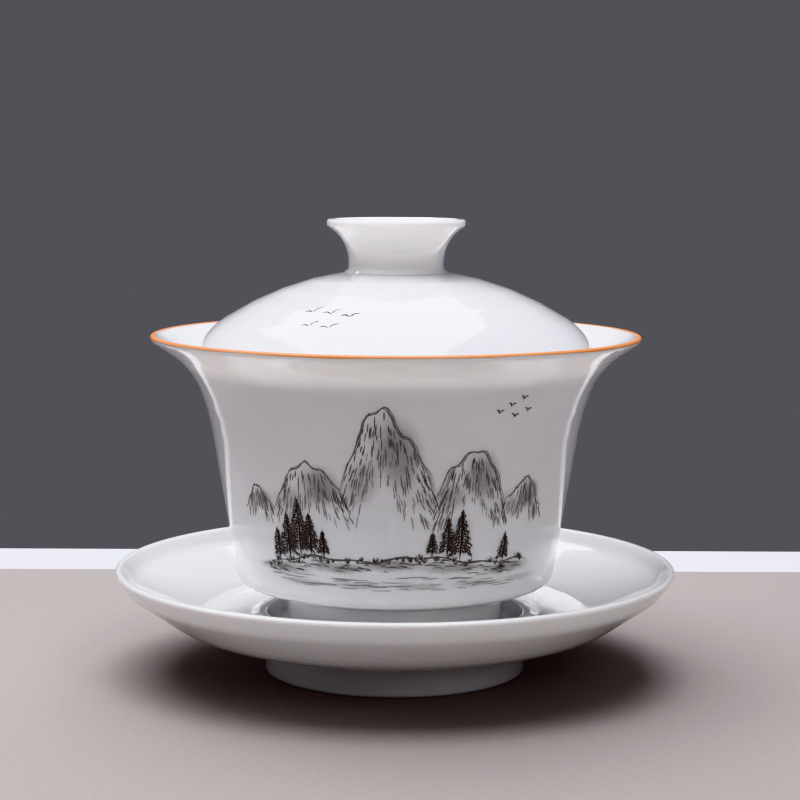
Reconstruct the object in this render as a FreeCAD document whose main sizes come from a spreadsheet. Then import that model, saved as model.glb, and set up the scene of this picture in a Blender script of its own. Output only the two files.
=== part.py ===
"""Lidded porcelain tea bowl (gaiwan) on its saucer.

Millimetres, +Z up.  The origin is the centre of the saucer's foot, on the
surface that the set stands on.  Every piece is turned about the Z axis, so
each one is a closed outline in the XZ plane, revolved once.
"""
import FreeCAD, Part
import math
import os

import Sketcher

# Driving dimensions.  A name ends in _r for a radius from the Z axis, in _z
# for a height above the table, in _round for the radius of a rounded corner.
SIZES = {
    # saucer
    "saucer_rim_r": 57.5,
    "saucer_rim_z": 21.8,
    "saucer_lip": 1.2,
    "saucer_lip_round": 0.52,
    "saucer_foot_r": 27.0,
    "saucer_foot_wall": 2.8,
    "saucer_foot_round": 0.7,
    "saucer_recess_z": 4.3,
    "saucer_neck_z": 5.2,
    "saucer_under_r": 27.9,
    "saucer_under_z": 6.9,
    "saucer_bend_r": 43.6,
    "saucer_bend_z": 9.4,
    "saucer_bend_round": 20.0,
    "saucer_brim_r": 55.1,
    "saucer_brim_z": 17.5,
    "saucer_brim_round": 6.0,
    "saucer_side_z": 21.0,
    "dish_brim_r": 54.1,
    "dish_brim_z": 18.9,
    "dish_bend_r": 42.4,
    "dish_bend_z": 12.5,
    "dish_bend_round": 22.0,
    "ridge_out_r": 29.7,
    "ridge_base_z": 11.7,
    "ridge_top_r": 27.0,
    "ridge_top_z": 12.4,
    "ridge_top_wide": 1.1,
    "ridge_round": 0.5,
    "well_r": 25.6,
    "well_z": 8.3,
    "well_round": 1.2,
    # bowl
    "bowl_rim_r": 50.0,
    "bowl_rim_z": 69.6,
    "bowl_lip_side_z": 68.6,
    "bowl_lip_round": 0.55,
    "bowl_flare_r": 41.96,
    "bowl_flare_z": 63.35,
    "bowl_flare_round": 16.5,
    "bowl_waist_r": 38.31,
    "bowl_waist_z": 54.32,
    "bowl_waist_round": 38.0,
    "bowl_base_r": 32.4,
    "bowl_base_z": 18.97,
    "bowl_base_round": 2.8,
    "bowl_foot_r": 22.3,
    "bowl_foot_top_z": 16.64,
    "bowl_foot_wall": 2.5,
    "bowl_foot_taper": 0.3,
    "bowl_foot_round": 0.6,
    "bowl_recess_z": 12.8,
    "bowl_floor_z": 15.8,
    "bowl_floor_r": 13.0,
    "bowl_floor_round": 30.0,
    "bowl_inner_base_r": 30.6,
    "bowl_inner_base_z": 20.0,
    "bowl_inner_base_round": 6.5,
    "bowl_inner_waist_r": 36.66,
    "bowl_inner_waist_z": 54.78,
    "bowl_inner_flare_r": 40.79,
    "bowl_inner_flare_z": 64.32,
    # enamel line on the bowl's lip
    "band_low_z": 69.0,
    "band_inner_r": 48.24,
    "band_top_r": 49.16,
    "band_round": 0.48,
    # lid
    "lid_seat_r": 10.7,
    "lid_seat_z": 82.15,
    "lid_dome_r": 23.8,
    "lid_dome_z": 80.05,
    "lid_dome_round": 62.5,
    "lid_shoulder_r": 39.9,
    "lid_shoulder_z": 69.62,
    "lid_shoulder_round": 13.5,
    "lid_edge_r": 41.5,
    "lid_edge_z": 63.5,
    "lid_edge_wide": 2.35,
    "lid_edge_round": 0.8,
    "lid_ceiling_z": 80.2,
    "lid_ceiling_r": 18.5,
    "lid_ceiling_round": 62.7,
    "lid_inner_shoulder_r": 38.0,
    "lid_inner_shoulder_z": 67.75,
    "lid_inner_shoulder_round": 7.5,
    # knob
    "knob_rim_r": 14.15,
    "knob_rim_z": 93.0,
    "knob_lip": 1.45,
    "knob_side_z": 91.65,
    "knob_lip_round": 0.6,
    "knob_neck_r": 9.75,
    "knob_neck_z": 82.95,
    "knob_neck_round": 1.0,
    "knob_flare_z": 88.56,
    "knob_flare_round": 8.0,
    "knob_bore_r": 7.7,
    "knob_bore_flare_z": 89.1,
    "knob_bore_round": 7.0,
}

# How far the bowl's foot stands out where it leaves the bowl's underside.
BOWL_FOOT_ROOT_R = (
    "bowl_foot_r - bowl_foot_taper"
    " * ( bowl_foot_top_z - bowl_recess_z ) / ( bowl_foot_top_z - well_z )"
)

# The pieces are modelled as they stand: the bowl's foot rests on the saucer's
# well, and the lid sits a hair clear of the bowl's flare.


def make_sheet(doc):
    """The spreadsheet that every outline reads its sizes from."""
    sheet = doc.addObject("Spreadsheet::Sheet", "Sizes")
    for row, (name, number) in enumerate(SIZES.items(), start=1):
        sheet.set(f"A{row}", name)
        sheet.set(f"B{row}", str(number))
        sheet.setAlias(f"B{row}", name)
    doc.recompute()
    return sheet


def origin_plane(body, role):
    """The body's own origin plane that has this role."""
    for feature in body.Origin.OriginFeatures:
        if feature.Role == role:
            return feature
    raise RuntimeError(f"{body.Label} has no {role}")


def in_sheet(text):
    """An expression in sheet aliases, as an object outside the sheet says it."""
    words = text.split()
    return " ".join("Sizes." + word if word[0].isalpha() else word for word in words)


def rounded_corner(before, corner, after, radius):
    """Where a fillet of this radius leaves the two sides of a corner."""
    to_before = (before - corner).normalize()
    to_after = (after - corner).normalize()
    half = to_before.getAngle(to_after) / 2
    reach = radius / math.tan(half)
    middle = (to_before + to_after).normalize()
    centre = corner + middle * (radius / math.sin(half))
    return corner + to_before * reach, corner + to_after * reach, centre


def arc_through(start, end, centre, radius):
    """The short arc from start to end around centre."""
    middle = (start + end) * 0.5 - centre
    return Part.Arc(start, centre + middle.normalize() * radius, end)


def bind(sketch, constraint, name, expression):
    """Adds a named constraint and ties its value to the spreadsheet."""
    index = sketch.addConstraint(constraint)
    sketch.renameConstraint(index, name)
    sketch.setExpression(f".Constraints.{name}", expression)


def bind_place(sketch, geo, pos, place, name, expressions):
    """Ties one point's distances from the two sketch axes."""
    for way, distance, expression in zip("XY", place, expressions):
        if expression == "0":
            axis = -2 if way == "X" else -1
            sketch.addConstraint(Sketcher.Constraint("PointOnObject", geo, pos, axis))
        else:
            made = Sketcher.Constraint("Distance" + way, -1, 1, geo, pos, distance)
            bind(sketch, made, f"{name}_{way.lower()}", expression)


def draw_outline(sketch, sheet, corners):
    """Draws a closed outline of straight sides and rounded corners.

    Each corner is (name, radius from the axis, height, rounding), the last
    three as expressions in sheet aliases.  Rounding None leaves it sharp.
    A rounded corner keeps its sharp point as a construction point, which
    carries the dimensions.
    """
    count = len(corners)
    texts = [(in_sheet(r), in_sheet(z)) for _, r, z, _ in corners]
    places = []
    for across, height in texts:
        flat = [float(sheet.evalExpression(t)) for t in (across, height)]
        places.append(FreeCAD.Vector(flat[0], flat[1], 0))

    leaves, enters, arcs = {}, {}, {}
    for i, (name, _, _, rounding) in enumerate(corners):
        enters[i] = leaves[i] = places[i]
        if rounding:
            radius = float(sheet.evalExpression(in_sheet(rounding)))
            made = rounded_corner(places[i - 1], places[i], places[(i + 1) % count], radius)
            enters[i], leaves[i], centre = made
            arcs[i] = (arc_through(enters[i], leaves[i], centre, radius), radius)

    sides = []
    for i in range(count):
        after = (i + 1) % count
        run = enters[after] - leaves[i]
        if run.dot(places[after] - places[i]) <= 0:
            raise RuntimeError(f"{sketch.Label}: no straight side after {corners[i][0]}")
        line = Part.LineSegment(leaves[i], enters[after])
        sides.append(sketch.addGeometry(line, False))

    for i, (name, _, _, rounding) in enumerate(corners):
        before, after = sides[i - 1], sides[i]
        if i not in arcs:
            sketch.addConstraint(Sketcher.Constraint("Coincident", before, 2, after, 1))
            bind_place(sketch, after, 1, places[i], name, texts[i])
            continue
        shape, radius = arcs[i]
        arc = sketch.addGeometry(shape, False)
        for side, side_end in ((before, 2), (after, 1)):
            near = min((1, 2), key=lambda e: gap(sketch, arc, e, side, side_end))
            sketch.addConstraint(Sketcher.Constraint("Tangent", arc, near, side, side_end))
        made = Sketcher.Constraint("Radius", arc, radius)
        bind(sketch, made, f"{name}_round", in_sheet(rounding))
        point = sketch.addGeometry(Part.Point(places[i]), True)
        for side in (before, after):
            sketch.addConstraint(Sketcher.Constraint("PointOnObject", point, 1, side))
        bind_place(sketch, point, 1, places[i], name, texts[i])


def gap(sketch, geo_a, pos_a, geo_b, pos_b):
    """Distance between two end points of a sketch."""
    return (sketch.getPoint(geo_a, pos_a) - sketch.getPoint(geo_b, pos_b)).Length


def turned_piece(doc, sheet, label, corners):
    """A body whose outline in the XZ plane is revolved about the Z axis."""
    body = doc.addObject("PartDesign::Body", label)
    body.Label = label
    sketch = body.newObject("Sketcher::SketchObject", label + "_outline")
    sketch.AttachmentSupport = (origin_plane(body, "XZ_Plane"), [""])
    sketch.MapMode = "FlatFace"
    doc.recompute()
    draw_outline(sketch, sheet, corners)
    doc.recompute()
    turn = body.newObject("PartDesign::Revolution", label + "_turned")
    turn.Profile = (sketch, [""])
    turn.ReferenceAxis = (sketch, ["V_Axis"])
    turn.Angle = 360.0
    sketch.Visibility = False
    body.Tip = turn
    body.Placement = FreeCAD.Placement()
    return body


def saucer_outline():
    """Thin dish with a rolled lip, and the ridged well for the bowl."""
    return [
        ("recess_middle", "0", "saucer_recess_z", None),
        ("foot_root", "saucer_foot_r", "saucer_recess_z", None),
        ("foot_neck", "saucer_foot_r", "saucer_neck_z", None),
        ("underside", "saucer_under_r", "saucer_under_z", None),
        ("bend", "saucer_bend_r", "saucer_bend_z", "saucer_bend_round"),
        ("brim", "saucer_brim_r", "saucer_brim_z", "saucer_brim_round"),
        ("side", "saucer_rim_r", "saucer_side_z", "saucer_lip_round"),
        ("rim_outside", "saucer_rim_r", "saucer_rim_z", "saucer_lip_round"),
        ("rim_inside", "saucer_rim_r - saucer_lip", "saucer_rim_z", "saucer_lip_round"),
        ("dish_brim", "dish_brim_r", "dish_brim_z", "saucer_brim_round"),
        ("dish_bend", "dish_bend_r", "dish_bend_z", "dish_bend_round"),
        ("ridge_base", "ridge_out_r", "ridge_base_z", "well_round"),
        ("ridge_outside", "ridge_top_r + ridge_top_wide", "ridge_top_z", "ridge_round"),
        ("ridge_inside", "ridge_top_r - ridge_round", "ridge_top_z", "ridge_round"),
        ("well_side", "well_r", "well_z", "well_round"),
        ("well_middle", "0", "well_z", None),
    ]


def saucer_foot_outline():
    """Ring that the saucer stands on."""
    return [
        ("root_inside", "saucer_foot_r - saucer_foot_wall", "saucer_recess_z", None),
        ("inside", "saucer_foot_r - saucer_foot_wall", "0", "saucer_foot_round"),
        ("outside", "saucer_foot_r", "0", "saucer_foot_round"),
        ("root_outside", "saucer_foot_r", "saucer_recess_z", None),
    ]


def bowl_outline():
    """Steep wall and wide flare, up to the foot of the lip."""
    return [
        ("recess_middle", "0", "bowl_recess_z", None),
        ("foot_root", BOWL_FOOT_ROOT_R, "bowl_recess_z", None),
        ("foot_top", "bowl_foot_r", "bowl_foot_top_z", "bowl_foot_round"),
        ("base", "bowl_base_r", "bowl_base_z", "bowl_base_round"),
        ("waist", "bowl_waist_r", "bowl_waist_z", "bowl_waist_round"),
        ("flare", "bowl_flare_r", "bowl_flare_z", "bowl_flare_round"),
        ("lip_side", "bowl_rim_r", "bowl_lip_side_z", "bowl_lip_round"),
        ("lip_outside", "bowl_rim_r", "band_low_z", None),
        ("lip_inside", "band_inner_r", "band_low_z", None),
        ("inner_flare", "bowl_inner_flare_r", "bowl_inner_flare_z", "bowl_flare_round"),
        ("inner_waist", "bowl_inner_waist_r", "bowl_inner_waist_z", "bowl_waist_round"),
        ("inner_base", "bowl_inner_base_r", "bowl_inner_base_z", "bowl_inner_base_round"),
        ("floor_edge", "bowl_floor_r", "bowl_floor_z", "bowl_floor_round"),
        ("floor_middle", "0", "bowl_floor_z", None),
    ]


def bowl_foot_outline():
    """Ring that the bowl stands on, a little wider towards the bowl."""
    return [
        ("root_inside", "bowl_foot_r - bowl_foot_wall", "bowl_recess_z", None),
        ("inside", "bowl_foot_r - bowl_foot_wall", "well_z", "bowl_foot_round"),
        ("outside", "bowl_foot_r - bowl_foot_taper", "well_z", "bowl_foot_round"),
        ("root_outside", BOWL_FOOT_ROOT_R, "bowl_recess_z", None),
    ]


def band_outline():
    """The coloured enamel that caps the bowl's lip."""
    return [
        ("outside", "bowl_rim_r", "band_low_z", None),
        ("top_outside", "bowl_rim_r", "bowl_rim_z", "band_round"),
        ("top_inside", "band_top_r", "bowl_rim_z", "band_round"),
        ("inside", "band_inner_r", "band_low_z", None),
    ]


def lid_outline():
    """Shallow dome with a turned-down shoulder and a flat seat for the knob."""
    return [
        ("seat_middle", "0", "lid_seat_z", None),
        ("seat_side", "lid_seat_r", "lid_seat_z", None),
        ("dome", "lid_dome_r", "lid_dome_z", "lid_dome_round"),
        ("shoulder", "lid_shoulder_r", "lid_shoulder_z", "lid_shoulder_round"),
        ("edge_outside", "lid_edge_r", "lid_edge_z", "lid_edge_round"),
        ("edge_inside", "lid_edge_r - lid_edge_wide", "lid_edge_z", "lid_edge_round"),
        (
            "inner_shoulder",
            "lid_inner_shoulder_r",
            "lid_inner_shoulder_z",
            "lid_inner_shoulder_round",
        ),
        ("ceiling", "lid_ceiling_r", "lid_ceiling_z", "lid_ceiling_round"),
        ("ceiling_middle", "0", "lid_ceiling_z", None),
    ]


def knob_outline():
    """Hollow flared ring, open at the top, that stands on the lid's seat."""
    return [
        ("bore_bottom", "knob_bore_r", "lid_seat_z", None),
        ("base", "lid_seat_r", "lid_seat_z", None),
        ("neck", "knob_neck_r", "knob_neck_z", "knob_neck_round"),
        ("flare", "knob_neck_r", "knob_flare_z", "knob_flare_round"),
        ("side", "knob_rim_r", "knob_side_z", "knob_lip_round"),
        ("rim_outside", "knob_rim_r", "knob_rim_z", "knob_lip_round"),
        ("rim_inside", "knob_rim_r - knob_lip", "knob_rim_z", "knob_lip_round"),
        ("bore_flare", "knob_bore_r", "knob_bore_flare_z", "knob_bore_round"),
    ]


PIECES = {
    "saucer": saucer_outline,
    "saucer_foot": saucer_foot_outline,
    "bowl": bowl_outline,
    "bowl_foot": bowl_foot_outline,
    "bowl_rim_band": band_outline,
    "lid_dome": lid_outline,
    "lid_knob": knob_outline,
}


def check(doc, bodies):
    """Stops unless every feature solved and every piece is a sound solid."""
    for item in doc.Objects:
        bad = [state for state in item.State if state in ("Invalid", "Error")]
        if bad:
            raise RuntimeError(f"{item.Label} is {bad}")
    for body in bodies:
        shape = body.Shape
        if shape.isNull() or not shape.isValid() or shape.Volume <= 0:
            raise RuntimeError(f"{body.Label} has no valid solid")
        print(f"{body.Label:14s} {len(shape.Solids)} solid  {shape.Volume / 1000:8.3f} cm3")


def main():
    doc = FreeCAD.newDocument("gaiwan")
    sheet = make_sheet(doc)
    bodies = [turned_piece(doc, sheet, label, outline()) for label, outline in PIECES.items()]
    doc.recompute()
    check(doc, bodies)
    os.makedirs("parts", exist_ok=True)
    for body in bodies:
        body.Shape.exportStep(f"parts/{body.Label}.step")


main()
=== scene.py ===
"""Looks of a lidded porcelain tea bowl on its saucer.

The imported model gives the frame.  Lengths below are millimetres until MM turns
them into Blender's metres.  Every porcelain piece is an outline turned about
the Z axis.  The decoration is a plain landscape of hills, firs, water and
birds: thin strokes of ink laid on the turned surfaces, and soft washes in the
bowl's glaze.
"""
import bisect
import math
import random

import bpy
from mathutils import Matrix, Vector


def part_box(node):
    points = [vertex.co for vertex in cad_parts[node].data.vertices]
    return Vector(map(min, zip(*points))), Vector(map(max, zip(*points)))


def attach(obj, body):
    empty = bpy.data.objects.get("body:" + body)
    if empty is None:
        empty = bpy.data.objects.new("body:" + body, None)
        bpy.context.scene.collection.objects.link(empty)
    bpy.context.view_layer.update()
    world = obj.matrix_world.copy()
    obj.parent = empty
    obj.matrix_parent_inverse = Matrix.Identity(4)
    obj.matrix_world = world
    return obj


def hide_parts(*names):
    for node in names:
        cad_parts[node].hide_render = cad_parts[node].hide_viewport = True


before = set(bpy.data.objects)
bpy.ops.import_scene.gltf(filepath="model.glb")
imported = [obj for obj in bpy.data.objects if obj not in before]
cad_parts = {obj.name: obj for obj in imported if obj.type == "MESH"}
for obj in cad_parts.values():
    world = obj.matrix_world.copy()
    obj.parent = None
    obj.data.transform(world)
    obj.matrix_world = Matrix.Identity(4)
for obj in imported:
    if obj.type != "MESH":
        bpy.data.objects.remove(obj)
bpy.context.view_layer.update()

MM = 0.001
TURN_STEPS = 256          # columns of a turned surface
OUTLINE_STEP = 0.85       # longest step along an outline
ARC_STEP = math.radians(7)
WOBBLE = 0.0007           # how far a ring strays, as a share of its radius
ON_AXIS = 1e-6            # a point nearer the axis than this is on it


# ---------------------------------------------------------------- outlines

RIM_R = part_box("bowl_rim_band")[1].x / MM
RIM_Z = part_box("bowl_rim_band")[1].z / MM
SAUCER_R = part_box("saucer")[1].x / MM
SAUCER_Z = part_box("saucer")[1].z / MM
WELL_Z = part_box("bowl_foot")[0].z / MM
LID_LOW_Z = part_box("lid_dome")[0].z / MM
KNOB_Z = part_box("lid_knob")[1].z / MM

# Each corner is radius, height and the radius of its rounding.
SAUCER_OUTLINE = [
    (0, 4.3, 0), (24.2, 4.3, 0.7), (24.2, 0, 0.7), (27, 0, 0.7), (27, 5.2, 0.4),
    (27.9, 6.9, 0.6), (43.6, 9.4, 20), (55.1, 17.5, 6), (SAUCER_R, SAUCER_Z - 0.8, 0.52),
    (SAUCER_R, SAUCER_Z, 0.52), (SAUCER_R - 1.2, SAUCER_Z, 0.52), (54.1, 18.9, 6),
    (42.4, 12.5, 22), (29.7, 11.7, 1.2), (28.1, 12.4, 0.5), (26.5, 12.4, 0.5),
    (25.6, WELL_Z, 1.2), (0, WELL_Z, 0),
]
BOWL_OUTLINE = [
    (0, 12.8, 0), (19.8, 12.8, 1.4), (19.8, WELL_Z, 0.6), (22.0, WELL_Z, 0.6),
    (22.3, 16.64, 0.6), (32.4, 18.97, 2.8), (38.31, 54.32, 38), (41.96, 63.35, 16.5),
    (RIM_R - 0.04, RIM_Z - 1, 0.5), (RIM_R - 0.04, RIM_Z - 0.04, 0.46),
    (RIM_R - 0.88, RIM_Z - 0.04, 0.46), (RIM_R - 1.76, RIM_Z - 0.6, 0.6),
    (40.79, 64.32, 16.5), (36.66, 54.78, 38), (30.6, 20, 6.5), (13, 15.8, 30), (0, 15.8, 0),
]
LID_OUTLINE = [
    (0, 80.2, 0), (18.5, 80.2, 62.7), (38.0, 67.75, 7.5), (39.15, LID_LOW_Z, 0.8),
    (41.5, LID_LOW_Z, 0.8), (39.9, 69.62, 13.5), (23.8, 80.05, 62.5), (10.7, 82.15, 0.3),
    (9.75, 82.95, 1.0), (9.75, 88.56, 8), (14.15, KNOB_Z - 1.35, 0.6), (14.15, KNOB_Z, 0.6),
    (12.7, KNOB_Z, 0.6), (7.7, 89.1, 7), (7.7, 82.15, 0.8), (0, 82.15, 0),
]


def rounded(corners):
    """Points along an outline, with its corners rounded and its sides divided."""
    last = len(corners) - 1
    path = [Vector(corners[0][:2])]
    for i in range(1, last):
        before, corner, after = (Vector(corners[k][:2]) for k in (i - 1, i, i + 1))
        radius = corners[i][2]
        if not radius:
            path.append(corner)
            continue
        to_before = (before - corner).normalized()
        to_after = (after - corner).normalized()
        half = to_before.angle(to_after) / 2
        centre = corner + (to_before + to_after).normalized() * radius / math.sin(half)
        start = corner + to_before * radius / math.tan(half) - centre
        end = corner + to_after * radius / math.tan(half) - centre
        sweep = math.atan2(start.x * end.y - start.y * end.x, start.dot(end))
        steps = max(2, math.ceil(abs(sweep) / ARC_STEP))
        for k in range(steps + 1):
            path.append(centre + Matrix.Rotation(sweep * k / steps, 2) @ start)
    path.append(Vector(corners[last][:2]))
    return divided(path, OUTLINE_STEP)


def divided(path, longest):
    """The path with points added until no side is longer than the given step."""
    points = [path[0]]
    for start, end in zip(path, path[1:]):
        steps = max(1, math.ceil((end - start).length / longest))
        points += [start.lerp(end, k / steps) for k in range(1, steps + 1)]
    return points


def out_of_true(place, turn):
    """A ring's radius where hand finishing leaves it a hair off a true circle."""
    swing = math.sin(2 * turn + place.y * 0.02) + 0.4 * math.sin(3 * turn + 1.3)
    return place.x * (1 + WOBBLE * swing)


def turned(name, outline):
    """A closed surface: an outline from axis to axis, turned about Z."""
    verts, faces, rings = [], [], []
    for i, point in enumerate(outline):
        if point.x < ON_AXIS:
            rings.append([len(verts)] * TURN_STEPS)
            verts.append((0, 0, point.y * MM))
            continue
        rings.append([len(verts) + k for k in range(TURN_STEPS)])
        for k in range(TURN_STEPS):
            turn = 2 * math.pi * k / TURN_STEPS
            radius = out_of_true(point, turn)
            verts.append((radius * math.cos(turn) * MM, radius * math.sin(turn) * MM, point.y * MM))
    for low, high in zip(rings, rings[1:]):
        for k in range(TURN_STEPS):
            n = (k + 1) % TURN_STEPS
            corners = [low[k], low[n], high[n], high[k]]
            faces.append(tuple(dict.fromkeys(corners)))
    return make_piece(name, verts, faces)


def make_piece(name, verts, faces):
    """A smooth-shaded mesh object."""
    mesh = bpy.data.meshes.new(name)
    mesh.from_pydata(verts, [], faces)
    mesh.shade_smooth()
    piece = bpy.data.objects.new(name, mesh)
    bpy.context.scene.collection.objects.link(piece)
    return piece


# ---------------------------------------------------------------- materials

class Nodes:
    """Short ways to build a material's node tree."""

    def __init__(self, name):
        self.material = bpy.data.materials.new(name)
        self.material.use_nodes = True
        self.tree = self.material.node_tree
        self.shader = self.tree.nodes["Principled BSDF"]

    def add(self, kind, inputs=(), **settings):
        """A node with its settings, and its inputs linked or set in order."""
        node = self.tree.nodes.new("ShaderNode" + kind)
        for key, value in settings.items():
            setattr(node, key, value)
        for key, value in dict(inputs).items():
            self.put(value, node.inputs[key])
        return node

    def put(self, value, socket):
        """Links an output to a socket, or sets the socket's own value."""
        if isinstance(value, bpy.types.NodeSocket):
            self.tree.links.new(value, socket)
        else:
            socket.default_value = value

    def math(self, operation, a, b=0.0, clamp=False):
        inputs = {0: a, 1: b}
        return self.add("Math", inputs, operation=operation, use_clamp=clamp).outputs[0]

    def noise(self, vector, scale, detail=2.0, roughness=0.5):
        inputs = {"Vector": vector, "Scale": scale, "Detail": detail, "Roughness": roughness}
        return self.add("TexNoise", inputs).outputs["Fac"]

    def between(self, factor, low, high):
        """A number from low to high as the factor goes from 0 to 1."""
        inputs = {"Value": factor, "To Min": low, "To Max": high}
        return self.add("MapRange", inputs).outputs["Result"]

    def mix(self, factor, first, second):
        """A colour between two others."""
        inputs = {"Factor": factor, 6: first, 7: second}
        return self.add("Mix", inputs, data_type="RGBA").outputs[2]

    def place(self):
        """The point's own place on its piece, in metres."""
        return self.add("TexCoord").outputs["Object"]


PORCELAIN = (0.85, 0.855, 0.88, 1), (0.88, 0.87, 0.85, 1)
# Painted shade: the lid's dome gets a greyer copy of the same porcelain whites, so its brightly lit top
# reads darker; the knob keeps the plain whites.
LID_PAINTED_SHADE_WHITES = (0.71, 0.715, 0.75, 1), (0.74, 0.735, 0.73, 1)
BISCUIT = (0.70, 0.68, 0.64, 1), (0.58, 0.54, 0.48, 1)
IRON_SPECK = (0.25, 0.19, 0.14, 1)
ENAMEL = (0.84, 0.30, 0.10, 1), (0.90, 0.50, 0.26, 1)
MAT = (0.325, 0.295, 0.285, 1), (0.39, 0.355, 0.345, 1)
TABLE = (0.66, 0.66, 0.69, 1), (0.70, 0.70, 0.73, 1)
THIN_INK, FULL_INK = (0.50, 0.48, 0.465, 1), (0.05, 0.038, 0.032, 1)
WASH = (0.105, 0.09, 0.078, 1)
PORCELAIN_IOR = 1.52
SCATTER = (0.0035, 0.0032, 0.0028)    # how deep red, green and blue light goes, in metres


def glaze(nodes, colour):
    """Clear gloss glaze: fine ripple, faint clouding and a very even shine."""
    place = nodes.place()
    shader = nodes.shader
    nodes.put(colour, shader.inputs["Base Color"])
    shine = nodes.noise(place, 180.0, 3.0)
    nodes.put(nodes.between(shine, 0.05, 0.11), shader.inputs["Roughness"])
    ripple = nodes.noise(place, 95.0, 1.5)
    bump = nodes.add("Bump", {"Height": ripple, "Strength": 0.06, "Distance": 0.00012})
    nodes.put(bump.outputs[0], shader.inputs["Normal"])
    shader.inputs["IOR"].default_value = PORCELAIN_IOR
    shader.inputs["Subsurface Weight"].default_value = 0.5
    shader.inputs["Subsurface Radius"].default_value = SCATTER
    shader.inputs["Subsurface Scale"].default_value = 1.0
    shader.inputs["Coat Weight"].default_value = 0.35
    shader.inputs["Coat Roughness"].default_value = 0.03


def porcelain_colour(nodes, whites):
    """Cool white with faint warm clouds and a few tiny iron specks."""
    place = nodes.place()
    clouds = nodes.noise(place, 26.0, 3.0)
    body = nodes.mix(nodes.between(clouds, 0.0, 1.0), *whites)
    cells = nodes.add("TexVoronoi", {"Vector": place, "Scale": 130.0, "Randomness": 1.0})
    near = nodes.math("LESS_THAN", cells.outputs["Distance"], 0.022)
    rare = nodes.math("GREATER_THAN", nodes.noise(place, 60.0), 0.64)
    speck = nodes.math("MULTIPLY", near, rare)
    return nodes.mix(nodes.math("MULTIPLY", speck, 0.35), body, IRON_SPECK)


def plain_glaze(name, whites):
    """Glazed porcelain with no washes."""
    nodes = Nodes(name)
    glaze(nodes, porcelain_colour(nodes, whites))
    return nodes.material


def biscuit():
    """Bare fired body where a foot ring stands."""
    nodes = Nodes("bare_biscuit")
    place = nodes.place()
    grain = nodes.noise(place, 2600.0, 4.0, 0.7)
    stain = nodes.noise(place, 300.0, 3.0)
    shade = nodes.mix(nodes.between(stain, 0.0, 1.0), *BISCUIT)
    nodes.put(shade, nodes.shader.inputs["Base Color"])
    nodes.put(nodes.between(grain, 0.55, 0.8), nodes.shader.inputs["Roughness"])
    bump = nodes.add("Bump", {"Height": grain, "Strength": 0.4, "Distance": 0.0001})
    nodes.put(bump.outputs[0], nodes.shader.inputs["Normal"])
    return nodes.material


def orange_enamel():
    """Overglaze enamel line, brushed on: thinner and paler in places."""
    nodes = Nodes("orange_enamel")
    place = nodes.place()
    brushed = nodes.noise(place, 420.0, 4.0, 0.65)
    slow = nodes.noise(place, 40.0, 2.0)
    fine_part = nodes.math("MULTIPLY", brushed, 0.6)
    slow_part = nodes.math("MULTIPLY", slow, 0.4)
    tone = nodes.math("ADD", fine_part, slow_part)
    colour = nodes.mix(nodes.between(tone, 0.0, 1.0), *ENAMEL)
    nodes.put(colour, nodes.shader.inputs["Base Color"])
    nodes.put(nodes.between(brushed, 0.14, 0.3), nodes.shader.inputs["Roughness"])
    bump = nodes.add("Bump", {"Height": brushed, "Strength": 0.3, "Distance": 0.00004})
    nodes.put(bump.outputs[0], nodes.shader.inputs["Normal"])
    return nodes.material


def table_mat():
    """Plain pale mat: fine even speckle, no pattern."""
    nodes = Nodes("pale_mat")
    place = nodes.place()
    grain = nodes.noise(place, 900.0, 4.0, 0.6)
    colour = nodes.mix(grain, *MAT)
    nodes.put(colour, nodes.shader.inputs["Base Color"])
    nodes.shader.inputs["Roughness"].default_value = 0.85
    return nodes.material


def table_top():
    """White matt table that the mat lies on."""
    nodes = Nodes("white_table")
    grain = nodes.noise(nodes.place(), 300.0, 2.0)
    nodes.put(nodes.mix(grain, *TABLE), nodes.shader.inputs["Base Color"])
    nodes.shader.inputs["Roughness"].default_value = 0.6
    return nodes.material


# ---------------------------------------------------------------- decoration

MM_PER_DEGREE = 0.62      # along the bowl's wall at mid height
INK_RISE = 0.014          # how far ink stands above the glaze
INK_LAYER = 0.006         # how much higher one stroke may stand than another
INK_DEEP = 0.03           # how far a stroke is sunk into the glaze
STROKE_STEP = 0.35        # longest step along a stroke
CHANCE = random.Random(7)

BOWL_WALL = rounded(BOWL_OUTLINE[4:9])
LID_TOP = rounded(LID_OUTLINE[5:8])[::-1]


def skin_point(path, key, value, lift):
    """Radius and height on an outline where x (key 0) or y (key 1) has a value."""
    spots = [point[key] for point in path]
    i = min(max(bisect.bisect_left(spots, value), 1), len(path) - 1)
    start, end = path[i - 1], path[i]
    along = end - start
    share = (value - start[key]) / along[key]
    out = Vector((along.y, -along.x)).normalized()
    if out.y < 0 and key == 0:
        out = -out
    return start + along * share + out * lift


def on_bowl(x, y, lift):
    """A place on the bowl's wall: x along it from the front, y the height."""
    place = skin_point(BOWL_WALL, 1, y, lift)
    turn = math.radians(x / MM_PER_DEGREE - 90)
    radius = out_of_true(place, turn)
    return Vector((radius * math.cos(turn), radius * math.sin(turn), place.y)) * MM


def on_lid(x, y, lift):
    """A place on the lid's dome, straight below x and y in plan."""
    place = skin_point(LID_TOP, 0, math.hypot(x, y), lift)
    scale = out_of_true(place, math.atan2(y, x)) / math.hypot(x, y)
    return Vector((x * scale, y * scale, place.y)) * MM


def curve_through(points, step):
    """Close points on a smooth curve through the given ones."""
    ends = [points[0] * 2 - points[1]] + points + [points[-1] * 2 - points[-2]]
    path = []
    for a, b, c, d in zip(ends, ends[1:], ends[2:], ends[3:]):
        count = max(1, math.ceil((c - b).length / step))
        for k in range(count):
            t = k / count
            bend = (2 * a - 5 * b + 4 * c - d) * t * t + (3 * b - a - 3 * c + d) * t ** 3
            path.append(b + ((c - a) * t + bend) / 2)
    return path + [points[-1]]


ROW = 4                   # corners of a stroke's cross-section


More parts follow.
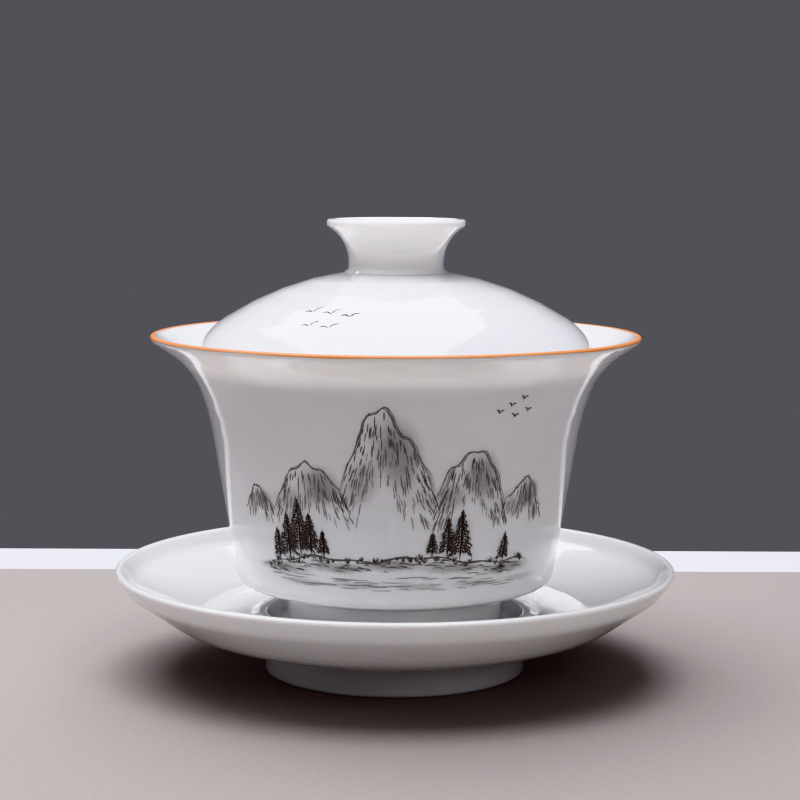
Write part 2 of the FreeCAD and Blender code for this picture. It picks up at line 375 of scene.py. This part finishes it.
class Ink:
    """Strokes of ink on one surface.  Each is a thin closed ribbon.

    Places are angle in degrees and height on the bowl, or x and y in plan on
    the lid.  A tone of 1 is full ink, of 0 the palest wash.
    """

    def __init__(self, name, body="bowl", skin=on_bowl, across=MM_PER_DEGREE):
        self.name, self.body, self.skin, self.across = name, body, skin, across
        self.verts, self.faces, self.tones = [], [], []

    def flat(self, place):
        """The place in millimetres along and up the surface."""
        return Vector((place[0] * self.across, place[1]))

    def ribbon(self, path, widths, tone):
        """A closed strip along a path, partly sunk into the glaze."""
        first = len(self.verts)
        last_row = len(path) - 1
        rise = INK_RISE + CHANCE.uniform(0, INK_LAYER)
        for i, here in enumerate(path):
            along = (path[min(i + 1, last_row)] - path[max(i - 1, 0)]).normalized()
            side = Vector((-along.y, along.x)) * widths[i]
            row = [here + side * 0.5, here - side * 0.5]
            self.verts += [self.skin(spot.x, spot.y, rise) for spot in row]
            self.verts += [self.skin(spot.x, spot.y, -INK_DEEP) for spot in reversed(row)]
            self.tones += [tone] * ROW
        for start in range(first, first + last_row * ROW, ROW):
            for k in range(ROW):
                n = (k + 1) % ROW
                self.faces.append((start + k, start + n, start + ROW + n, start + ROW + k))
        self.faces.append(tuple(first + k for k in reversed(range(ROW))))
        self.faces.append(tuple(first + last_row * ROW + k for k in range(ROW)))

    def line(self, places, width, tone, tip=0.3):
        """A brushed line that thins towards its ends, its edges a little uneven."""
        path = curve_through([self.flat(p) for p in places], STROKE_STEP)
        swell, widths = 1.0, []
        for i in range(len(path)):
            near_end = min(i, len(path) - 1 - i) / max(1, (len(path) - 1) / 2)
            swell = 0.6 * swell + 0.4 * CHANCE.uniform(0.65, 1.4)
            widths.append(width * swell * (tip + (1 - tip) * min(1, near_end * 2.2)))
        self.ribbon(path, widths, tone)

    def sketch(self, places, width, tone, tip, times, stray):
        """A line gone over a few times, each time a little to one side."""
        for _ in range(times):
            side = Vector((CHANCE.gauss(0, stray), CHANCE.gauss(0, stray)))
            moved = [(x + (side.x + CHANCE.gauss(0, stray / 2)) / self.across,
                      y + side.y + CHANCE.gauss(0, stray / 2)) for x, y in places]
            stroke_width = width * CHANCE.uniform(0.8, 1.15)
            self.line(moved, stroke_width, tone * CHANCE.uniform(0.75, 1), tip)

    def leaf(self, place, length, width, turn, tone):
        """An oval touch of the brush."""
        middle = self.flat(place)
        along = Vector((math.cos(math.radians(turn)), math.sin(math.radians(turn)))) * length
        shares = (0, 0.15, 0.4, 0.7, 0.92, 1)
        path = [middle + along * (share - 0.5) for share in shares]
        widths = [width * w for w in (0.2, 0.75, 1, 0.9, 0.5, 0.15)]
        self.ribbon(path, widths, tone)

    def tuft(self, place, size, count, low, high):
        """Blades that spring from one place, at angles from low to high."""
        root = self.flat(place)
        for k in range(count):
            turn = math.radians(low + (high - low) * (k + CHANCE.uniform(0.1, 0.9)) / count)
            length = size * CHANCE.uniform(0.9, 1.6)
            way = Vector((math.cos(turn), math.sin(turn)))
            bow = Vector((-way.y, way.x)) * CHANCE.uniform(-0.12, 0.12) * length
            path = [root + way * share * length for share in (0.12, 0.6, 1)]
            path[1] += bow
            width = CHANCE.uniform(0.17, 0.24)
            self.ribbon(path, [width * 0.6, width, width * 0.4], CHANCE.uniform(0.5, 0.95))

    def finish(self):
        """Makes the piece and ties it to its body."""
        piece = make_piece(self.name, self.verts, self.faces)
        piece.data.shade_flat()
        tones = piece.data.attributes.new("tone", "FLOAT", "POINT")
        tones.data.foreach_set("value", self.tones)
        piece.data.materials.append(INK)
        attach(piece, self.body)


# Each hill is the angle of its top, its rise and its half width, nearest first.
HILLS = [(-27, 13, 17), (24, 16, 16), (-3, 24, 19), (44, 9, 12), (-48, 7, 10)]
HILL_FOOT = 35            # height where mist hides the hills
# Each fir is its angle and how tall it is.
FIRS = [(-41, 6.5), (-36.5, 9.5), (-32, 12), (-28, 8.5), (-23.5, 5.5),
        (12, 5), (17, 8), (21.5, 10.5), (38, 6)]
OUTLINE_STEPS = 24        # from a hill's top to its side
OUTLINE_DRAWN = 19        # steps drawn; the rest is left to the mist


def hill_height(hill, phi):
    """Height of one hill's outline at an angle from the front."""
    top, rise, half = hill
    across = (phi - top) / half
    rough = 0.05 * math.sin(7 * across + top) + 0.025 * math.sin(19 * across + 2 * top)
    return HILL_FOOT + rise * (1 - abs(across) ** 1.35 + rough)


def bank_height(phi):
    """Height of the near bank's edge, which dips to the water at both ends."""
    return 29 - 2.4 * (phi / 50) ** 2 + 0.5 * math.sin(phi / 6) + 0.25 * math.sin(phi / 2.3 + 1)


def is_clear_of(nearer, phi, height):
    """Whether a place stands above every one of the nearer hills."""
    return all(hill_height(near, phi) < height for near in nearer)


def paint_hills():
    """Outlines and short strokes down the slopes, both lost in mist below."""
    ink = Ink("ink_hills")
    for i, hill in enumerate(HILLS):
        top, rise, half = hill
        nearer = HILLS[:i]
        run = []
        for k in range(-OUTLINE_DRAWN, OUTLINE_DRAWN + 1):
            phi = top + half * k / OUTLINE_STEPS
            place = (phi, hill_height(hill, phi))
            seen = is_clear_of(nearer, *place)
            if seen:
                run.append(place)
            if len(run) > 2 and (k == OUTLINE_DRAWN or not seen):
                ink.sketch(run, 0.15, 0.6, 0.1, 4, 0.16)
            if not seen:
                run = []
        for _ in range(int(10 * rise)):
            phi = top + half * CHANCE.uniform(-0.7, 0.85)
            depth = CHANCE.uniform(0.02, 0.6)
            height = hill_height(hill, phi) - depth * rise
            if height < HILL_FOOT + 1.5 or not is_clear_of(nearer, phi, height):
                continue
            lean = (phi - top) / half * 1.6
            fall = CHANCE.uniform(1.0, 2.8)
            path = [(phi, height), (phi + lean * 0.7, height - fall / 2),
                    (phi + lean * 1.2, height - fall)]
            ink.line(path, CHANCE.uniform(0.11, 0.24), 0.7 - 0.7 * depth, 0.2)
    ink.finish()


def paint_firs():
    """Upright trunks with drooping boughs and short needles."""
    ink = Ink("ink_firs")
    for phi, tall in FIRS:
        foot = bank_height(phi) + 0.2
        ink.line([(phi, foot), (phi + 0.25, foot + tall / 2), (phi, foot + tall)], 0.42, 0.95, 0.2)
        tiers = int(1.5 * tall)
        for tier in range(1, tiers):
            height = foot + tall * (1 - 0.86 * tier / tiers)
            for side in (-1, 1):
                reach = (0.25 + 0.28 * tall * tier / tiers) * CHANCE.uniform(0.7, 1.15)
                tip = side * reach / MM_PER_DEGREE
                droop = 0.3 * reach
                bough = [(phi, height), (phi + tip / 2, height - droop * 0.3),
                         (phi + tip, height - droop)]
                ink.line(bough, 0.2, 0.9)
                for _ in range(int(4 + 4 * reach)):
                    along = CHANCE.uniform(0.1, 1)
                    spot = (phi + tip * along, height - droop * along + CHANCE.uniform(-0.3, 0.05))
                    length = CHANCE.uniform(0.5, 0.95)
                    turn = -90 + side * CHANCE.uniform(5, 50)
                    ink.leaf(spot, length, 0.17, turn, CHANCE.uniform(0.55, 1))
    ink.finish()


def paint_bank():
    """The bank's edge, flat strokes below it and tufts of grass."""
    ink = Ink("ink_bank")
    edge = [(phi, bank_height(phi)) for phi in range(-50, 51, 2)]
    ink.sketch(edge, 0.2, 0.8, 0.2, 3, 0.14)
    for _ in range(90):
        phi = CHANCE.uniform(-46, 46)
        height = bank_height(phi) - CHANCE.uniform(0.3, 2.2)
        reach = CHANCE.uniform(0.8, 2.6)
        ink.line([(phi - reach, height), (phi, height + 0.1), (phi + reach, height - 0.15)],
                 CHANCE.uniform(0.14, 0.28), CHANCE.uniform(0.35, 0.8), 0.2)
    for _ in range(46):
        phi = CHANCE.uniform(-47, 47)
        root = (phi, bank_height(phi) - CHANCE.uniform(0, 1.2))
        ink.tuft(root, CHANCE.uniform(0.5, 1.1), 5, 50, 130)
    ink.finish()


def paint_water():
    """Level ripples in front of the bank."""
    ink = Ink("ink_water")
    for _ in range(48):
        phi, height = CHANCE.uniform(-44, 44), CHANCE.uniform(22.6, 25.4)
        reach = CHANCE.uniform(1.5, 5)
        middle = (phi, height + CHANCE.uniform(-0.12, 0.12))
        ripple = [(phi - reach, height), middle, (phi + reach, height)]
        ink.line(ripple, 0.14, CHANCE.uniform(0.2, 0.5), 0.2)
    ink.finish()


def bird(ink, x, y, size, width):
    """Two strokes that meet at the body."""
    body = (x, y - 0.3 * size)
    ink.line([body, (x - 0.6 * size, y + 0.5 * size), (x - 1.5 * size, y + 0.6 * size)], width, 0.85)
    ink.line([body, (x + 0.8 * size, y + 0.4 * size), (x + 1.8 * size, y + 0.35 * size)], width, 0.85)


def paint_birds():
    """Five birds above the hills."""
    ink = Ink("ink_birds")
    for phi, height in ((30, 57.5), (33.5, 58.8), (37, 60.1), (35.4, 56.6), (39.6, 57.6)):
        bird(ink, phi, height, 0.8, 0.24)
    ink.finish()


def paint_lid_birds():
    """Five birds on the lid, in wider strokes because the dome is seen at a slant."""
    ink = Ink("ink_lid_birds", "lid", on_lid, 1)
    for x, y in ((-16, -25), (-12.4, -27.2), (-8.8, -29.4), (-16.6, -29.4), (-12.8, -31.6)):
        bird(ink, x, y, 1.2, 0.4)
    ink.finish()


def soft_washes():
    """Each wash: angle, height, half width, half height, tilt and strength."""
    washes = []
    for top, rise, half in HILLS:
        washes.append((top + 0.2 * half, HILL_FOOT + 0.62 * rise, 0.3 * half, 0.4 * rise, 12, 0.7))
        washes.append((top - 0.35 * half, HILL_FOOT + 0.4 * rise, 0.22 * half, 0.25 * rise, -18, 0.4))
    # haze between the hills
    for phi, height, half_wide in ((-16, 41.5, 8), (12, 41, 8), (-39, 39, 6), (36, 39.5, 6)):
        washes.append((phi, height, half_wide, 3.6, 0, 0.22))
    for phi, tall in FIRS:
        washes.append((phi, bank_height(phi) + 0.45 * tall, 0.3 * tall, 0.5 * tall, 0, 0.5))
    for phi in range(-40, 41, 20):
        washes.append((phi, bank_height(phi) - 1.4, 9.0, 1.6, 0, 0.6))
        washes.append((phi + 8, 23.6, 7.0, 1.0, 0, 0.35))
    return washes


def wash_amount(nodes, chart):
    """How much wash covers a point of the chart, from 0 to 1."""
    stray = nodes.add("TexNoise", {"Vector": chart, "Scale": 0.55, "Detail": 3.0, "Roughness": 0.6})
    shift = nodes.add("VectorMath", {0: stray.outputs["Color"], 1: (0.5, 0.5, 0.5)}, operation="SUBTRACT")
    move = nodes.add("VectorMath", {0: shift.outputs[0], "Scale": 1.3}, operation="SCALE")
    warped = nodes.add("VectorMath", {0: chart, 1: move.outputs[0]}, operation="ADD").outputs[0]
    bare = 1.0
    for phi, height, half_wide, half_high, tilt, strength in soft_washes():
        setting = {"Vector": warped, "Location": (phi * MM_PER_DEGREE, height, 0.0),
                   "Rotation": (0.0, 0.0, math.radians(tilt)), "Scale": (half_wide, half_high, 1000.0)}
        inside = nodes.add("Mapping", setting, vector_type="TEXTURE").outputs[0]
        blob = nodes.add("TexGradient", {"Vector": inside}, gradient_type="SPHERICAL").outputs["Fac"]
        soft = nodes.add("MapRange", {"Value": blob, "From Max": 0.75, "To Max": strength * 0.8},
                         interpolation_type="SMOOTHSTEP").outputs["Result"]
        bare = nodes.math("MULTIPLY", bare, nodes.math("SUBTRACT", 1.0, soft))
    grain = nodes.noise(chart, 5.0, 3.0, 0.75)
    covered = nodes.math("SUBTRACT", 1.0, bare)
    return nodes.math("MULTIPLY", covered, nodes.between(grain, 0.35, 1.45), clamp=True)


def painted_glaze():
    """Glazed porcelain with soft grey washes under the glaze."""
    nodes = Nodes("painted_glaze")
    split = nodes.add("SeparateXYZ", {0: nodes.place()}).outputs
    turn = nodes.math("ARCTAN2", split[0], nodes.math("MULTIPLY", split[1], -1.0))
    along = nodes.math("MULTIPLY", turn, math.degrees(MM_PER_DEGREE))
    height = nodes.math("MULTIPLY", split[2], 1 / MM)
    chart = nodes.add("CombineXYZ", {0: along, 1: height}).outputs[0]
    amount = wash_amount(nodes, chart)
    glaze(nodes, nodes.mix(amount, porcelain_colour(nodes, PORCELAIN), WASH))
    return nodes.material


def ink():
    """Fired ceramic ink: brown-black, paler where the brush ran dry."""
    nodes = Nodes("ceramic_ink")
    tone = nodes.add("Attribute", attribute_name="tone").outputs["Fac"]
    dry = nodes.noise(nodes.place(), 2400.0, 3.0, 0.7)
    depth = nodes.math("MULTIPLY", tone, nodes.between(dry, 0.72, 1.3), clamp=True)
    nodes.put(nodes.mix(depth, THIN_INK, FULL_INK), nodes.shader.inputs["Base Color"])
    nodes.put(nodes.between(dry, 0.30, 0.5), nodes.shader.inputs["Roughness"])
    nodes.shader.inputs["Specular IOR Level"].default_value = 0.3
    return nodes.material


INK = ink()


def give_faces(piece, material, picks):
    """Gives a material to the faces that the test picks."""
    piece.data.materials.append(material)
    for face in piece.data.polygons:
        if picks(face):
            face.material_index = len(piece.data.materials) - 1


# ---------------------------------------------------------------- porcelain

GLAZE = plain_glaze("white_glaze", PORCELAIN)
BARE = biscuit()


def bare_where_it_stands(piece, foot_z):
    """Gives the flat underside of a foot ring the bare biscuit."""
    piece.data.materials.append(BARE)
    for face in piece.data.polygons:
        if face.center.z < (foot_z + STANDING_BAND) * MM and face.normal.z < -0.9:
            face.material_index = len(piece.data.materials) - 1


WASHED_LOW, WASHED_HIGH = 17.5, 68.5      # heights between which the wall may hold washes
KNOB_FOOT = 82.3
STANDING_BAND = 0.12      # how far up a foot ring counts as where it stands


def is_bowl_wall(face):
    """Whether a face of the bowl is on the outside of its wall."""
    outward = face.normal.x * face.center.x + face.normal.y * face.center.y
    at_wall = WASHED_LOW * MM < face.center.z < WASHED_HIGH * MM
    return at_wall and outward > 0 and face.normal.z < 0.1


def is_knob(face):
    """Whether a face of the lid is on its knob."""
    return face.center.z > KNOB_FOOT * MM


def make_saucer():
    saucer = turned("saucer_porcelain", rounded(SAUCER_OUTLINE))
    saucer.data.materials.append(GLAZE)
    bare_where_it_stands(saucer, 0)
    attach(saucer, "saucer")
    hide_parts("saucer", "saucer_foot")


def make_bowl():
    bowl = turned("bowl_porcelain", rounded(BOWL_OUTLINE))
    bowl.data.materials.append(GLAZE)
    bare_where_it_stands(bowl, WELL_Z)
    give_faces(bowl, painted_glaze(), is_bowl_wall)
    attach(bowl, "bowl")
    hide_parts("bowl", "bowl_foot")


def make_lid():
    lid = turned("lid_porcelain", rounded(LID_OUTLINE))
    # The dome gets the greyer whites as painted shade; the knob keeps the plain white glaze.
    lid.data.materials.append(plain_glaze("lid_glaze_painted_shade", LID_PAINTED_SHADE_WHITES))
    give_faces(lid, GLAZE, is_knob)
    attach(lid, "lid")
    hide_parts("lid_dome", "lid_knob")


def make_lip_line():
    """Enamel over the bowl's lip, a thin skin with uneven edges."""
    lip = rounded(BOWL_OUTLINE[7:12])
    over = [p for p in lip if p.y > RIM_Z - 0.66 and p.x > RIM_R - 1.3]
    verts, faces = [], []
    count = len(over)
    for k in range(TURN_STEPS):
        turn = 2 * math.pi * k / TURN_STEPS
        edge = (0.06 * math.sin(5 * turn + 1) + 0.05 * math.sin(11 * turn)
                + 0.03 * math.sin(23 * turn + 2))
        for lift in (0.04, -0.1):
            for i, point in enumerate(over):
                along = over[min(i + 1, count - 1)] - over[max(i - 1, 0)]
                out = Vector((along.y, -along.x)).normalized()
                share = 1 - i / (count - 1) * 2
                slide = along.normalized() * edge * abs(share) ** 3
                place = point + out * lift + slide
                radius = out_of_true(place, turn)
                verts.append((radius * math.cos(turn) * MM, radius * math.sin(turn) * MM, place.y * MM))
    ring = 2 * count
    loop = list(range(count)) + list(range(2 * count - 1, count - 1, -1))
    for k in range(TURN_STEPS):
        here, there = k * ring, (k + 1) % TURN_STEPS * ring
        for a, b in zip(loop, loop[1:] + loop[:1]):
            faces.append((here + a, there + a, there + b, here + b))
    line = make_piece("lip_enamel", verts, faces)
    line.data.materials.append(orange_enamel())
    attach(line, "bowl")
    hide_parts("bowl_rim_band")


# ---------------------------------------------------------------- studio

def slab(name, low, high, material):
    """A plain box for the table."""
    x0, y0, z0 = low
    x1, y1, z1 = high
    verts = [(x, y, z) for x in (x0, x1) for y in (y0, y1) for z in (z0, z1)]
    faces = [(0, 1, 3, 2), (4, 6, 7, 5), (0, 4, 5, 1), (2, 3, 7, 6), (0, 2, 6, 4), (1, 5, 7, 3)]
    mesh = bpy.data.meshes.new(name)
    mesh.from_pydata(verts, [], faces)
    piece = bpy.data.objects.new(name, mesh)
    bpy.context.scene.collection.objects.link(piece)
    piece.data.materials.append(material)


def softbox(name, place, target, size, power, colour=(1, 1, 1)):
    """A rectangular light that faces the target."""
    data = bpy.data.lights.new(name, "AREA")
    data.shape = "RECTANGLE"
    data.size, data.size_y = size
    data.energy = power
    data.color = colour
    lamp = bpy.data.objects.new(name, data)
    bpy.context.scene.collection.objects.link(lamp)
    away = Vector(place) - Vector(target)
    lamp.location = place
    lamp.rotation_euler = away.to_track_quat("Z", "Y").to_euler()
    lamp.visible_camera = False


CAMERA_PLACE = (0.0009, -0.4295, 0.105)
CAMERA_DROP = 6.525       # degrees below level
CAMERA_ROLL = 0.244       # degrees
CAMERA_LENS = 94.6        # millimetres, on a 36 mm sensor


def make_camera():
    """Nearly level view from the front, a little above the rim."""
    data = bpy.data.cameras.new("view")
    data.lens = CAMERA_LENS
    data.sensor_width = 36
    data.clip_start = 0.01
    camera = bpy.data.objects.new("view", data)
    bpy.context.scene.collection.objects.link(camera)
    tilt = Matrix.Rotation(math.radians(90 - CAMERA_DROP), 4, "X")
    roll = Matrix.Rotation(math.radians(CAMERA_ROLL), 4, "Z")
    camera.matrix_world = Matrix.Translation(CAMERA_PLACE) @ tilt @ roll
    bpy.context.scene.camera = camera


def make_studio():
    """A table with a plain mat, an even grey surround and three soft lights."""
    slab("table_mat", (-0.7, -0.7, -0.0015), (0.7, 0.103, 0), table_mat())
    slab("table_top", (-0.7, -0.72, -0.03), (0.7, 0.139, -0.0015), table_top())
    world = bpy.data.worlds.new("studio")
    world.use_nodes = True
    sky = world.node_tree.nodes["Background"]
    sky.inputs["Color"].default_value = (0.136, 0.133, 0.145, 1)
    sky.inputs["Strength"].default_value = 1.0
    bpy.context.scene.world = world
    view = bpy.context.scene.view_settings
    view.view_transform = "Khronos PBR Neutral"
    view.look = "High Contrast"
    softbox("key", (-0.14, 0.18, 0.88), (-0.14, 0.18, 0), (0.92, 1.24), 12.4, (0.96, 0.97, 1.0))
    softbox("front", (0.5, -1.0, 0.6), (0, 0, 0.04), (1.0, 0.5), 2.5)
    softbox("left", (-1.0, -0.2, 0.5), (0, 0, 0.04), (0.5, 0.5), 1.0)


make_saucer()
make_bowl()
make_lid()
make_lip_line()
paint_hills()
paint_firs()
paint_bank()
paint_water()
paint_birds()
paint_lid_birds()
make_camera()
make_studio()

bpy.context.view_layer.update()
